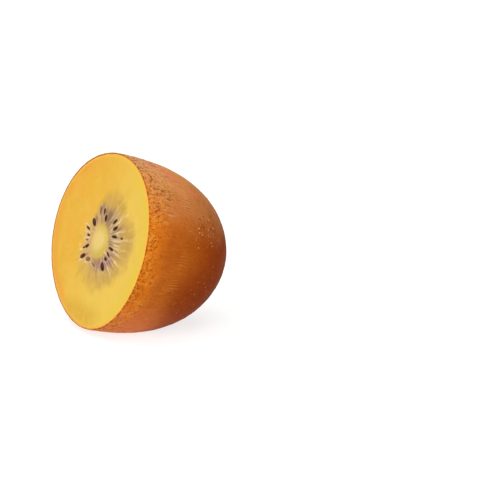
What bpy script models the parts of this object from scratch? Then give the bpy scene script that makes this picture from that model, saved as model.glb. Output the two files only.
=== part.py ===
"""Half of a golden kiwi fruit, cut straight across its middle.

The half lies on its side on a small flat spot. The cut face looks towards -Y
and leans back a little; the whole rounded end, with its stem scar, points
towards +Y and slightly down. It grew as one piece, so it is one closed solid.

The shape is a barrel: a stack of slightly oval sections, each centred on a
gently bent axis. The radius along the axis follows a rounded profile that is
full at the cut and closes at the stem end.

Origin: middle of the footprint's box, at the height of the resting surface.
Units: metres, +Z up.
"""

import math

import bmesh
import bpy
from mathutils import Vector

# ---------------------------------------------------------------- dimensions
NODE_NAME = "kiwi_half"

CUT_RADIUS = 0.0270         # nominal radius of the cut face
HALF_LENGTH = 0.04043       # from the cut face to the stem end, along the axis
PROFILE_SIDE = 2.365        # exponent that keeps the flank full near the cut
PROFILE_END = 1.857         # exponent that rounds off the stem end
WIDTH_FACTOR = 0.985        # sideways radius against upright radius
LEAN_DEG = 14.65            # how far the cut face leans back from upright
AXIS_DROP = 0.0112          # the axis sinks by this share of the distance
AXIS_DRIFT = 0.0272         # and drifts sideways by this share

# the section is a little oval and a little uneven at the cut, and turns
# round towards the stem end
OVAL_COS, OVAL_SIN = 0.0366, -0.0011
LOBE_COS, LOBE_SIN = -0.0160, 0.0090

FLAT_DEPTH = 0.0011         # how much of the belly the flat spot takes away

SCAR_RADIUS = 0.0042        # ring of the stem scar
SCAR_RING_WIDTH = 0.0011
SCAR_RING_HEIGHT = 0.00045
SCAR_PIT_RADIUS = 0.0024
SCAR_PIT_DEPTH = 0.0009

SEGMENTS = 64               # around the axis
STATIONS = 24               # sections between the cut and the stem end's cap
CAP_RADIUS = 0.0080         # from here inwards the sections are evenly spaced
CAP_STATIONS = 8

SKIN_COLOUR = (0.40, 0.16, 0.055, 1.0)
FLESH_COLOUR = (0.83, 0.52, 0.07, 1.0)

# ------------------------------------------------------------------- geometry
_lean = math.radians(LEAN_DEG)
AXIS = Vector((0.0, math.cos(_lean), -math.sin(_lean)))   # cut towards stem end
UP = Vector((0.0, math.sin(_lean), math.cos(_lean)))      # up, in the cut face
SIDE = Vector((1.0, 0.0, 0.0))                            # right, in the cut face


def radius_share(along):
    """Share of the full radius at a distance from the cut, from 1 to 0."""
    share = 1.0 - (along / HALF_LENGTH) ** PROFILE_SIDE
    return max(share, 0.0) ** (1.0 / PROFILE_END)


def distance_at(share):
    """Distance from the cut at which the radius has this share."""
    return HALF_LENGTH * (1.0 - share ** PROFILE_END) ** (1.0 / PROFILE_SIDE)


def scar_height(radius):
    """How far the stem scar stands out (+) or sinks in (-) along the axis."""
    ring = SCAR_RING_HEIGHT * math.exp(-(((radius - SCAR_RADIUS) / SCAR_RING_WIDTH) ** 2))
    pit = SCAR_PIT_DEPTH * math.exp(-((radius / SCAR_PIT_RADIUS) ** 2))
    return ring - pit


def section_point(along, share, angle):
    """A point of the skin: its section, its share of the radius, its angle."""
    fade = 1.0 - (along / HALF_LENGTH) ** 2
    uneven = 1.0 + fade * (
        OVAL_COS * math.cos(2 * angle) + OVAL_SIN * math.sin(2 * angle)
        + LOBE_COS * math.cos(3 * angle) + LOBE_SIN * math.sin(3 * angle)
    )
    centre = AXIS * along - UP * (AXIS_DROP * along) + SIDE * (AXIS_DRIFT * along)
    radius = CUT_RADIUS * share
    rise = scar_height(radius)
    return (centre + AXIS * rise
            + SIDE * (radius * uneven * WIDTH_FACTOR * math.cos(angle))
            + UP * (radius * uneven * math.sin(angle)))


def stations():
    """Pairs of distance from the cut and share of the radius."""
    cap_start = distance_at(CAP_RADIUS / CUT_RADIUS)
    last = math.asin(cap_start / HALF_LENGTH)
    rows = []
    for i in range(STATIONS):
        along = HALF_LENGTH * math.sin(last * i / STATIONS)
        rows.append((along, radius_share(along)))
    for i in range(CAP_STATIONS):
        share = (CAP_RADIUS / CUT_RADIUS) * (1.0 - i / CAP_STATIONS)
        rows.append((distance_at(share), share))
    return rows


def make_material(name, colour, roughness):
    material = bpy.data.materials.new(name)
    material.use_nodes = True
    shader = material.node_tree.nodes["Principled BSDF"]
    shader.inputs["Base Color"].default_value = colour
    shader.inputs["Roughness"].default_value = roughness
    shader.inputs["Metallic"].default_value = 0.0
    material.diffuse_color = colour
    return material


def build_half():
    mesh = bpy.data.meshes.new(NODE_NAME)
    body = bpy.data.objects.new(NODE_NAME, mesh)
    bpy.context.scene.collection.objects.link(body)
    mesh.materials.append(make_material("kiwi_skin", SKIN_COLOUR, 0.62))
    mesh.materials.append(make_material("kiwi_flesh", FLESH_COLOUR, 0.30))

    bm = bmesh.new()
    rings = []
    for along, share in stations():
        rings.append([
            bm.verts.new(section_point(along, share, 2 * math.pi * k / SEGMENTS))
            for k in range(SEGMENTS)
        ])
    tip = bm.verts.new(section_point(HALF_LENGTH, 0.0, 0.0))

    # the skin
    for near, far in zip(rings, rings[1:]):
        for k in range(SEGMENTS):
            n = (k + 1) % SEGMENTS
            bm.faces.new((near[k], far[k], far[n], near[n])).smooth = True
    for k in range(SEGMENTS):
        n = (k + 1) % SEGMENTS
        bm.faces.new((rings[-1][k], tip, rings[-1][n])).smooth = True

    # the cut face
    cut = bm.faces.new(rings[0])
    cut.material_index = 1

    # the flat spot under the belly
    lowest = min(v.co.z for v in bm.verts)
    flat_z = lowest + FLAT_DEPTH
    bmesh.ops.bisect_plane(
        bm,
        geom=bm.verts[:] + bm.edges[:] + bm.faces[:],
        dist=1e-7,
        plane_co=(0.0, 0.0, flat_z),
        plane_no=(0.0, 0.0, -1.0),
        clear_outer=True,
    )
    open_edges = [e for e in bm.edges if e.is_boundary]
    filled = bmesh.ops.contextual_create(bm, geom=open_edges)
    for face in filled["faces"]:
        face.material_index = 0
    for v in bm.verts:
        if abs(v.co.z - flat_z) < 1e-6:
            v.co.z = flat_z
    bmesh.ops.recalc_face_normals(bm, faces=bm.faces[:])
    bm.to_mesh(mesh)
    bm.free()
    mesh.set_sharp_from_angle(angle=math.radians(35))

    # stand it on the flat spot, with the middle of its footprint at the origin
    low = [min(v.co[i] for v in mesh.vertices) for i in range(3)]
    high = [max(v.co[i] for v in mesh.vertices) for i in range(3)]
    body.location = (-(low[0] + high[0]) / 2, -(low[1] + high[1]) / 2, -low[2])
    return body


def main():
    for old in list(bpy.data.objects):
        bpy.data.objects.remove(old, do_unlink=True)
    build_half()


main()
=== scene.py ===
import math

import bpy
import numpy as np
from mathutils import Matrix, Vector


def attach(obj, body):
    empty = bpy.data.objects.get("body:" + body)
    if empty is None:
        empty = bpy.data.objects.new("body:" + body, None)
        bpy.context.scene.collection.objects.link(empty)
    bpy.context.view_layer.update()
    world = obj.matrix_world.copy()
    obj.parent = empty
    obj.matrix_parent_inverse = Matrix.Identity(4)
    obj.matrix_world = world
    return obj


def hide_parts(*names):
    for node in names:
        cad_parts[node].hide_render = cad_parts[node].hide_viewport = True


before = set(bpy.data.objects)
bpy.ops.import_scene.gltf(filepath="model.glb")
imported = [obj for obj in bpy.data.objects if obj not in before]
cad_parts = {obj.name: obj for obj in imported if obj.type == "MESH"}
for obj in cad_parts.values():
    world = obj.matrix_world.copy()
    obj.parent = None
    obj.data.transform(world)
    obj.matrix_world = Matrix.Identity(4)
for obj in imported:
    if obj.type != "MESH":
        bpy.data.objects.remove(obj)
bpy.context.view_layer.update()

# =============================================================================
# The fruit's shape, in millimetres. Local axes: x to the right in the cut face,
# y up in the cut face, z out of the cut face. The cut face's middle is at 0.
# =============================================================================
CUT_RADIUS = 27.0
HALF_LENGTH = 40.43
PROFILE_SIDE = 2.365
PROFILE_END = 1.857
WIDTH_FACTOR = 0.985
LEAN_DEG = 14.65
AXIS_DROP = 0.0112
AXIS_DRIFT = 0.0272
OVAL_COS, OVAL_SIN = 0.0366, -0.0011
LOBE_COS, LOBE_SIN = -0.0160, 0.0090
CUT_CENTRE = np.array([0.4042, -16.6278, 27.0803])     # in the row's frame

SKIN_THICKNESS = 0.24     # at the cut
SKIN_DEEP = 0.42          # further in
FLESH_INSET = 0.22        # at the cut
FLESH_DEEP = 0.60         # further in

CORE = np.array([0.69, -0.50])                         # middle of the core

_t = math.radians(LEAN_DEG)
SIDE = np.array([1.0, 0.0, 0.0])
UP = np.array([0.0, math.sin(_t), math.cos(_t)])
OUT = np.array([0.0, -math.cos(_t), math.sin(_t)])


def to_row(p):
    """Local millimetres to the row's frame, still in millimetres."""
    return CUT_CENTRE + p[..., 0:1] * SIDE + p[..., 1:2] * UP + p[..., 2:3] * OUT


def to_local(q):
    d = q - CUT_CENTRE
    return np.stack([d @ SIDE, d @ UP, d @ OUT], -1)


def radius_share(along):
    return np.clip(1 - (along / HALF_LENGTH) ** PROFILE_SIDE, 0, None) ** (1 / PROFILE_END)


def distance_at(share):
    return HALF_LENGTH * np.clip(1 - share ** PROFILE_END, 0, None) ** (1 / PROFILE_SIDE)


def smooth(a, b, x):
    """0 below a, 1 above b, and a smooth step between."""
    t = np.clip((x - a) / (b - a), 0, 1)
    return t * t * (3 - 2 * t)


# ------------------------------------------------------------------ noise
def _hash(ix, iy, iz, seed):
    with np.errstate(over="ignore"):
        n = (ix * 374761393 + iy * 668265263 + iz * 1440662683 + seed * 974634777) & 0xFFFFFFFF
        n = ((n ^ (n >> 13)) * 1274126177) & 0xFFFFFFFF
        n = ((n ^ (n >> 15)) * 2246822519) & 0xFFFFFFFF
        n = n ^ (n >> 16)
    return (n & 0xFFFFF) / 524287.5 - 1.0


def noise3(p, seed=0):
    """Smooth value noise from -1 to 1 at points p."""
    i = np.floor(p).astype(np.int64)
    f = p - i
    u = f * f * f * (f * (f * 6 - 15) + 10)
    total = 0.0
    for dx in (0, 1):
        for dy in (0, 1):
            for dz in (0, 1):
                w = ((u[..., 0] if dx else 1 - u[..., 0])
                     * (u[..., 1] if dy else 1 - u[..., 1])
                     * (u[..., 2] if dz else 1 - u[..., 2]))
                total = total + w * _hash(i[..., 0] + dx, i[..., 1] + dy, i[..., 2] + dz, seed)
    return total


def fbm(p, seed=0, octaves=4, gain=0.5):
    total, amp, norm = 0.0, 1.0, 0.0
    for k in range(octaves):
        total = total + amp * noise3(p * 2.0 ** k + 17.3 * k, seed + k)
        norm += amp
        amp *= gain
    return total / norm


# =============================================================================
# Mesh helpers
# =============================================================================
def make_mesh(name, row_mm, quads, tris=(), smooth_shade=True):
    """A mesh object whose points are given in the row's frame in millimetres."""
    verts = np.asarray(row_mm, float) / 1000.0
    quads = np.asarray(quads, np.int64).reshape(-1, 4)
    tris = np.asarray(tris, np.int64).reshape(-1, 3)
    mesh = bpy.data.meshes.new(name)
    mesh.vertices.add(len(verts))
    mesh.vertices.foreach_set("co", verts.astype(np.float32).ravel())
    loops = np.concatenate([quads.ravel(), tris.ravel()])
    mesh.loops.add(len(loops))
    mesh.loops.foreach_set("vertex_index", loops.astype(np.int32))
    starts = np.concatenate([np.arange(len(quads)) * 4,
                             len(quads) * 4 + np.arange(len(tris)) * 3])
    mesh.polygons.add(len(starts))
    mesh.polygons.foreach_set("loop_start", starts.astype(np.int32))
    mesh.update(calc_edges=True)
    mesh.validate()
    if smooth_shade:
        mesh.shade_smooth()
    obj = bpy.data.objects.new(name, mesh)
    bpy.context.scene.collection.objects.link(obj)
    return obj


def put_float(obj, name, values):
    a = obj.data.attributes.new(name, "FLOAT", "POINT")
    a.data.foreach_set("value", np.asarray(values, np.float32).ravel())


def put_vector(obj, name, values):
    a = obj.data.attributes.new(name, "FLOAT_VECTOR", "POINT")
    a.data.foreach_set("vector", np.asarray(values, np.float32).ravel())


SMALL = 0.088     # middle of the small disc in the corner of a bake map, and its size
SMALL_RIM, SMALL_FIRST = 0.085, 0.076


def small_disc(share, theta):
    return np.stack([SMALL + share * np.cos(-theta), SMALL + share * np.sin(-theta)], -1)


def put_uv(obj, per_vertex_uv, hidden):
    """The bake map. A face with any hidden corner lies wholly on the small disc: its other
    corners go to that disc's rim, so no face stretches across the map."""
    data = obj.data
    layer = data.uv_layers.new(name="OFBake")
    index = np.empty(len(data.loops), np.int32)
    data.loops.foreach_get("vertex_index", index)
    totals = np.empty(len(data.polygons), np.int32)
    data.polygons.foreach_get("loop_total", totals)
    face_of = np.repeat(np.arange(len(totals)), totals)
    small = np.zeros(len(totals), bool)
    np.logical_or.at(small, face_of, hidden[index])
    uv = per_vertex_uv[index]
    rim = small[face_of] & ~hidden[index]
    uv[rim] = small_disc(SMALL_RIM, THETA[index[rim] % AROUND])
    layer.uv.foreach_set("vector", uv.astype(np.float32).ravel())


def ring_quads(rows, around, first=0):
    """Quads between successive rings; rings run along the second axis."""
    r = np.arange(rows - 1)[:, None]
    k = np.arange(around)[None, :]
    n = (k + 1) % around
    a = first + r * around + k
    b = first + (r + 1) * around + k
    c = first + (r + 1) * around + n
    d = first + r * around + n
    return np.stack([a, b, c, d], -1).reshape(-1, 4)


# =============================================================================
# Skin
# =============================================================================
AROUND = 480
THETA = np.linspace(0, 2 * np.pi, AROUND, endpoint=False)


def base_grid(along, share, theta=THETA):
    """Points of the plain skin on a grid of stations and angles."""
    fade = 1 - (along / HALF_LENGTH) ** 2
    uneven = 1 + fade[:, None] * (
        OVAL_COS * np.cos(2 * theta) + OVAL_SIN * np.sin(2 * theta)
        + LOBE_COS * np.cos(3 * theta) + LOBE_SIN * np.sin(3 * theta))[None, :]
    r = CUT_RADIUS * share[:, None] * uneven
    x = AXIS_DRIFT * along[:, None] + r * WIDTH_FACTOR * np.cos(theta)[None, :]
    y = -AXIS_DROP * along[:, None] + r * np.sin(theta)[None, :]
    z = -along[:, None] + 0 * x
    return np.stack([x, y, z], -1)


def grid_normals(p):
    """Outward unit normals of a grid of stations and angles."""
    da = np.gradient(p, axis=0)
    dt = np.roll(p, -1, axis=1) - np.roll(p, 1, axis=1)
    n = np.cross(dt, da)
    n /= np.linalg.norm(n, axis=-1, keepdims=True) + 1e-12
    flip = np.sign((n * (p - np.array([0, 0, -15.0]))).sum(-1, keepdims=True))
    return n * np.where(flip == 0, 1, flip)


def meridian(count, end_share=0.004):
    """Stations evenly spaced along the skin from the cut to the stem end."""
    w = HALF_LENGTH * np.sin(np.linspace(0, np.pi / 2, 4000))
    s = radius_share(w)
    low = s > 0.3
    share = np.concatenate([s[low], np.linspace(s[low][-1], end_share, 3000)[1:]])
    w = np.concatenate([w[low], distance_at(share[low.sum():])])
    r = CUT_RADIUS * share
    length = np.concatenate([[0], np.cumsum(np.hypot(np.diff(w), np.diff(r)))])
    # closer together in the rough band by the cut, wider on the smooth flank
    even = np.linspace(0, 1, count)
    at = length[-1] * (0.62 * even + 0.38 * even ** 2)
    return np.interp(at, length, w), np.interp(at, length, share), at


def settle(row):
    """The belly settles on the surface: points below it are brought up softly."""
    z = row[..., 2]
    k = 0.22
    row = row.copy()
    row[..., 2] = 0.5 * (z + np.sqrt(z * z + k * k)) - 0.5 * k * np.exp(-np.abs(z) / 0.6)
    row[..., 2] = np.maximum(row[..., 2], 0.0)
    return row


STATIONS = 150
along, share, arc = meridian(STATIONS)
plain = base_grid(along, share)
normal = grid_normals(plain)
arc_grid = np.repeat(arc[:, None], AROUND, 1)
radial = CUT_RADIUS * np.repeat(share[:, None], AROUND, 1)      # distance from the axis
theta_grid = np.repeat(THETA[None, :], STATIONS, 0)

rng = np.random.default_rng(7)

# broad unevenness of the grown skin, then finer lumps
relief = 0.10 * fbm(plain / 9.0, seed=3, octaves=3)
relief += 0.030 * fbm(plain / 1.9, seed=11, octaves=3)
relief += 0.016 * fbm(plain / 0.8, seed=21, octaves=2)

# the rough band by the cut: small raised scales with a hollow beside each
band_reach = (5.6 + 7.0 * smooth(12.5, 18.5, plain[..., 1]) + 1.6 * smooth(1.0, -6.0, plain[..., 1])
              + 1.8 * fbm(plain / 6.0, seed=31, octaves=2))
band = 1 - smooth(0.35, 1.0, arc_grid / band_reach)
band_patch = smooth(-0.45, 0.25, fbm(plain / 4.2, seed=33, octaves=2) + 0.25 * smooth(5, 14, plain[..., 1])
                    + 0.20 * (1 - smooth(1.0, 5.0, np.abs(plain[..., 1] + 6.0))))
band = band * (0.25 + 0.75 * band_patch)
scale_noise = fbm(plain / 1.15 + 0.35 * np.stack([noise3(plain / 0.9, 35), noise3(plain / 0.9, 36),
                                                  noise3(plain / 0.9, 37)], -1), seed=34, octaves=2)
scales = smooth(0.10, 0.42, scale_noise)
shaded_hollows = smooth(0.12, 0.44, -scale_noise)
relief += band * (0.070 * scales - 0.045 * shaded_hollows)

# pits, thickest in a band by the cut and in loose patches elsewhere
pit = np.zeros_like(relief)
wart = np.zeros_like(relief)


def stamp(field, centre, size, stretch, turn, strength, power=1.0):
    """Adds a soft oval spot on the skin around a point of the grid."""
    i, k = centre
    rows = slice(max(0, i - 9), min(STATIONS, i + 10))
    span = int(min(AROUND // 2 - 1, 4 + 3.2 * size * max(stretch, 1) /
                   max(0.05, radial[i, k] * 2 * np.pi / AROUND)))
    cols = np.arange(k - span, k + span + 1) % AROUND
    p = plain[rows][:, cols] - plain[i, k]
    t_dir = plain[i, (k + 1) % AROUND] - plain[i, k - 1]
    t_dir /= np.linalg.norm(t_dir)
    a_dir = np.cross(normal[i, k], t_dir)
    u = p @ (math.cos(turn) * t_dir + math.sin(turn) * a_dir) / (size * stretch)
    v = p @ (-math.sin(turn) * t_dir + math.cos(turn) * a_dir) / size
    g = strength * np.exp(-(u * u + v * v) ** power)
    block = field[rows][:, cols]
    sub = np.maximum(block, g) if strength > 0 else np.minimum(block, g)
    r0 = rows.start
    field[r0:r0 + sub.shape[0], cols] = sub


def nearest(arc_mm, angle):
    i = int(np.clip(np.searchsorted(arc, arc_mm), 0, STATIONS - 1))
    k = int(angle / (2 * np.pi) * AROUND) % AROUND
    return i, k


count = 0
while count < 200:                      # band by the cut
    a = abs(rng.normal(0, 3.4)) + 0.3
    ang = rng.uniform(0, 2 * np.pi)
    clump = noise3(np.array([math.cos(ang) * 3.1, math.sin(ang) * 3.1, a / 3.0]), 5)
    if rng.uniform(-0.9, 0.5) > clump:
        continue
    i, k = nearest(a, ang)
    stamp(pit, (i, k), rng.uniform(0.18, 0.34), rng.uniform(1.2, 3.0),
          rng.normal(0.4, 0.7), rng.uniform(0.45, 1.0))
    count += 1
count = 0
while count < 110:                      # loose pits over the rest
    a = rng.uniform(4, 46)
    ang = rng.uniform(0, 2 * np.pi)
    i, k = nearest(a, ang)
    if rng.uniform(0, CUT_RADIUS) > radial[i, k]:
        continue
    stamp(pit, (i, k), rng.uniform(0.16, 0.30), rng.uniform(1.0, 2.4),
          rng.uniform(0, 3.1), rng.uniform(0.25, 0.7))
    count += 1
count = 0
while count < 900:                      # small raised pores, more towards the stem end
    a = 50 * rng.uniform(0, 1) ** 0.8
    ang = rng.uniform(0, 2 * np.pi)
    i, k = nearest(a, ang)
    if rng.uniform(0, CUT_RADIUS) > radial[i, k] or rng.uniform() > 0.35 + 0.65 * a / 30:
        continue
    stamp(wart, (i, k), rng.uniform(0.24, 0.42), rng.uniform(1.0, 1.3),
          rng.uniform(0, 3.1), rng.uniform(0.4, 1.0))
    count += 1

relief += -0.11 * pit + 0.075 * wart * (1 - 0.6 * pit)

# the stem scar at the far end: a low woody ring, a rough floor and a pit
scar_lumps = fbm(plain / 1.3, seed=41, octaves=3)
scar_radial = radial + 0.55 * fbm(plain / 2.6, seed=43, octaves=2)
ring = np.exp(-((scar_radial - 4.2) / 1.0) ** 2)
floor_ = 1 - smooth(3.0, 4.6, scar_radial)
hole = np.exp(-((scar_radial + 0.2) / 1.45) ** 4)
cracks = smooth(0.05, 0.28, np.abs(fbm(np.stack([np.cos(theta_grid) * 2.6, np.sin(theta_grid) * 2.6, radial / 3.0], -1), seed=45, octaves=2)) * 2.0)
relief = relief * (1 - 0.7 * floor_)
relief += ring * (0.42 + 0.20 * scar_lumps - 0.14 * (1 - cracks))
relief += floor_ * (-0.22 + 0.22 * scar_lumps - 0.10 * (1 - cracks)) - 0.80 * hole
scar = np.clip(ring * 1.1 + floor_, 0, 1)

# the edge of the cut: smoother, and a little ragged
near_edge = np.exp(-arc_grid / 0.6)
relief *= 1 - 0.75 * near_edge
relief += 0.035 * near_edge * fbm(plain / 1.3, seed=51, octaves=3)
relief -= 0.06 * np.exp(-arc_grid / 0.25)

outer_local = plain + normal * relief[..., None]
ragged = 0.03 + 0.05 * fbm(plain[0] / 1.3, seed=61, octaves=3)
outer_local[0, :, 2] += ragged
outer_row = settle(to_row(outer_local))

# the inner wall is coarse towards the far end, where nothing shows it
inner_rows = np.concatenate([[0, 1, 2, 4, 7], np.arange(12, STATIONS - 6, 9), [STATIONS - 1]])
inner_depth = SKIN_THICKNESS + (SKIN_DEEP - SKIN_THICKNESS) * smooth(0.3, 1.6, arc[inner_rows])
under_scar = np.exp(-(CUT_RADIUS * share[inner_rows] / 4.2) ** 2)
inner_depth = inner_depth + 1.15 * under_scar
inner_plain = plain[inner_rows] - normal[inner_rows] * inner_depth[:, None, None]
inner_plain[0, :, 2] = ragged * 0.9 - 0.03
inner_plain[-1] = inner_plain[-1].mean(0) + 0.2 * (inner_plain[-1] - inner_plain[-1].mean(0))
inner_row = settle(to_row(inner_plain))
keep = inner_row[..., 2] < SKIN_THICKNESS
inner_row[..., 2] = np.where(keep, np.maximum(inner_row[..., 2], SKIN_THICKNESS * 0.9), inner_row[..., 2])

n_out = STATIONS * AROUND
n_in = len(inner_rows) * AROUND
points = np.concatenate([outer_row.reshape(-1, 3), inner_row.reshape(-1, 3),
                         outer_row[-1].mean(0)[None], inner_row[-1].mean(0)[None]])
quads = [ring_quads(STATIONS, AROUND)]
inner_q = ring_quads(len(inner_rows), AROUND, n_out)[:, ::-1]
quads.append(inner_q)
k = np.arange(AROUND)
n = (k + 1) % AROUND
quads.append(np.stack([k, n, n_out + n, n_out + k], -1))        # the edge of the cut
last = (STATIONS - 1) * AROUND
last_in = n_out + (len(inner_rows) - 1) * AROUND
tris = np.concatenate([
    np.stack([last + k, np.full(AROUND, n_out + n_in), last + n], -1),
    np.stack([last_in + n, np.full(AROUND, n_out + n_in + 1), last_in + k], -1)])
skin = make_mesh("kiwi_skin", points, np.concatenate(quads), tris)


def flat(grid, inner_value=0.0, tip=None):
    out = np.concatenate([grid.ravel(), np.full(n_in, inner_value),
                          [grid[-1].mean() if tip is None else tip, inner_value]])
    return out


put_vector(skin, "kiwi_mm", to_local(points))
put_float(skin, "pit", flat(pit))
put_float(skin, "pore", flat(wart))
put_float(skin, "band", flat(band))
high = (plain[..., 1] + AXIS_DROP * along[:, None]) / np.maximum(radial, 0.5)
high = high * (1 - smooth(30, 44, arc_grid)) + 0.10 * fbm(plain / 5.0, seed=47, octaves=2)
put_float(skin, "high", flat(high))
put_float(skin, "scales", flat(scales * band))
put_float(skin, "shaded_hollows", flat(shaded_hollows * band))
put_float(skin, "scar", flat(scar))
put_float(skin, "scar_hole", flat(hole))
put_float(skin, "scar_cracks", flat(scar * (1 - cracks)))
put_float(skin, "from_cut", np.concatenate([arc_grid.ravel(), np.repeat(arc[inner_rows], AROUND),
                                            [arc[-1], arc[-1]]]))
put_float(skin, "inside", flat(np.zeros_like(pit), 1.0))

# bake map: the outside is a disc around the stem end, the inside a small one in a corner
reach = arc[-1]
disc = (reach - arc_grid) / reach * 0.49
uv_out = np.stack([0.5 + disc * np.cos(theta_grid), 0.5 + disc * np.sin(theta_grid)], -1)
uv_in = small_disc(np.linspace(SMALL_FIRST, 0.004, len(inner_rows))[:, None], THETA[None, :])
put_uv(skin, np.concatenate([uv_out.reshape(-1, 2), uv_in.reshape(-1, 2),
                             [[0.5, 0.5]], [[SMALL, SMALL]]]),
       np.concatenate([np.zeros(n_out, bool), np.ones(n_in, bool), [False], [True]]))

# =============================================================================
# Flesh: the cut face with its core, seed chambers and pockets, and the body
# =============================================================================
# Seeds in the cut face: x, y, pointing angle, length, width, height, rise, tone
SEEDS = [
    (-4.85, 4.30, 132, 2.7, 1.55, 1.15, 0.40, 0.00),
    (-2.59, 8.23, 100, 2.6, 1.25, 0.95, 0.05, 0.85),
    (-0.23, 8.28, 92, 2.1, 1.05, 0.95, 0.12, 0.50),
    (1.36, 6.46, 80, 2.2, 1.25, 1.05, 0.30, 0.15),
    (6.80, 6.41, 43, 2.6, 0.78, 0.90, 0.20, 0.15),
    (7.67, 4.55, 30, 2.7, 0.95, 1.00, 0.34, 0.05),
    (8.08, 2.23, 2, 2.8, 0.80, 0.95, 0.30, 0.10),
    (12.23, 2.38, 5, 1.4, 0.55, 0.75, 0.08, 0.65),
    (7.62, -1.50, -14, 2.5, 0.70, 0.90, 0.26, 0.20),
    (6.90, -3.32, -32, 2.2, 0.65, 0.85, 0.18, 0.40),
    (5.92, -4.73, -40, 1.6, 1.05, 0.95, 0.22, 0.30),
    (5.05, -7.15, -50, 2.9, 1.50, 1.10, 0.38, 0.28),
    (-7.41, -6.24, 205, 3.0, 1.30, 1.10, 0.34, 0.52),
    (-3.82, -6.55, 188, 2.8, 1.40, 0.95, 0.07, 0.88),
    (-6.08, -2.92, 205, 2.0, 0.95, 0.95, 0.28, 0.10),
    (-7.77, -3.77, 208, 1.6, 0.52, 0.70, 0.10, 0.50),
    (-7.57, 2.13, 157, 2.2, 0.62, 0.80, 0.20, 0.30),
    (-6.64, 0.21, 178, 1.7, 0.58, 0.75, 0.16, 0.40),
    (-6.95, -1.30, 188, 1.5, 0.48, 0.70, 0.05, 0.78),
    (-0.28, -7.56, -22, 2.2, 0.62, 0.80, 0.03, 0.80),
]
# Seeds that lie under the cut face and only tint it: x, y, angle, length, width, strength
BURIED = [
    (8.64, -4.83, -35, 3.6, 2.3, 1.00),
    (9.26, -2.82, -16, 2.8, 1.2, 0.80),
    (7.21, -6.14, -42, 2.8, 1.8, 0.85),
    (3.51, -6.95, -60, 2.8, 1.9, 0.75),
    (1.77, -7.25, -75, 2.6, 1.6, 0.60),
    (3.41, 7.32, 60, 3.0, 2.3, 1.00),
    (5.16, 7.07, 52, 2.8, 1.6, 0.70),
    (-1.41, 7.88, 96, 2.8, 2.0, 0.85),
    (6.18, 5.05, 40, 2.0, 1.2, 0.45),
    (10.29, 4.75, 20, 3.2, 1.6, 0.40),
    (10.70, 1.02, 4, 3.0, 1.4, 0.40),
    (-5.62, -5.84, 205, 2.2, 1.5, 0.60),
    (-5.21, -1.40, 190, 1.9, 1.3, 0.45),
    (-3.62, 5.51, 125, 2.3, 1.7, 0.95),
    (-1.30, 8.80, 100, 3.0, 3.4, 0.95),
    (1.00, 8.00, 88, 3.2, 3.0, 0.95),
    (3.20, 7.80, 68, 3.4, 3.0, 1.00),
    (5.30, 7.90, 55, 3.2, 2.4, 0.85),
    (2.60, 6.60, 70, 2.0, 2.2, 0.90),
    (6.00, 6.30, 45, 3.0, 2.6, 0.90),
    (6.20, -6.20, -45, 3.0, 2.8, 1.00),
    (7.90, -4.10, -28, 2.6, 1.6, 0.85),
]

# Pale strokes between the seeds: x, y, angle, length, width, strength
PALE = [
    (-8.10, 3.00, 168, 2.8, 0.40, 1.0), (-8.00, 1.05, 176, 2.4, 0.45, 0.9), (-7.80, -0.85, 181, 2.6, 0.45, 0.9),
    (-8.80, -4.40, 204, 1.9, 0.45, 0.8), (-8.00, -7.50, 205, 2.4, 0.50, 0.9), (-10.00, -3.30, 180, 0.8, 0.60, 1.0),
    (-5.90, -0.60, 180, 1.8, 0.50, 0.6), (-6.30, 1.10, 170, 1.6, 0.45, 0.6), (-4.70, -7.60, 190, 1.8, 0.40, 0.6),
    (8.70, 6.00, 38, 3.8, 0.50, 0.9), (9.50, 3.50, 22, 4.4, 0.50, 1.0), (10.2, 1.20, 6, 4.8, 0.45, 1.0),
    (9.90, -0.05, 0, 4.2, 0.50, 0.9), (10.7, -1.10, -7, 3.6, 0.42, 0.8), (11.2, -2.30, -11, 3.2, 0.42, 0.8),
    (10.7, -5.60, -26, 2.6, 0.42, 0.8), (5.20, -3.30, -35, 1.5, 0.50, 0.9), (8.50, -7.10, -44, 1.8, 0.50, 0.9),
    (12.1, -4.70, -20, 2.0, 0.38, 0.8), (13.0, 9.40, 35, 1.1, 0.55, 0.8), (5.60, 7.60, 52, 3.0, 0.45, 0.7),
    (9.80, 8.00, 42, 2.8, 0.42, 0.7), (12.4, 4.40, 20, 3.0, 0.40, 0.7), (3.60, -8.70, -68, 1.6, 0.42, 0.6),
    (5.50, 5.20, 42, 1.8, 0.42, 0.6), (6.10, 3.30, 28, 1.7, 0.40, 0.6), (0.60, 6.50, 88, 1.8, 0.40, 0.5),
]
# Olive and brown strokes in the tissue, in shallow grooves; their darkness is partly their own colour, partly painted
# shade between the fibres: x, y, angle, length, width, strength
DEEP = [
    (10.4, 10.7, 25, 3.2, 0.75, 0.9), (12.2, 9.90, -30, 2.0, 0.60, 0.7), (7.60, 12.3, 50, 2.8, 0.8, 0.6),
    (11.0, 5.40, 26, 4.0, 0.50, 0.8), (11.2, 2.60, 10, 4.4, 0.45, 0.8), (10.8, 0.55, 2, 4.2, 0.42, 0.8),
    (10.6, -0.60, -4, 4.0, 0.40, 0.9), (10.9, -1.75, -9, 3.8, 0.40, 0.9), (11.4, -3.40, -16, 3.2, 0.45, 0.8),
    (10.4, -6.70, -32, 2.8, 0.45, 0.7), (4.60, 8.80, 60, 3.2, 0.70, 0.7), (8.20, 8.20, 46, 3.2, 0.55, 0.8),
    (-9.80, -7.70, 200, 3.2, 0.55, 0.6), (-8.00, -11.2, 248, 3.8, 0.80, 0.6), (-5.90, -9.60, 240, 3.2, 0.60, 0.6),
    (-1.40, -11.2, 268, 4.2, 0.80, 0.6), (-11.0, -1.20, 185, 3.0, 0.90, 0.4), (-3.60, -12.6, 255, 2.6, 0.7, 0.5),
]

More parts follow.
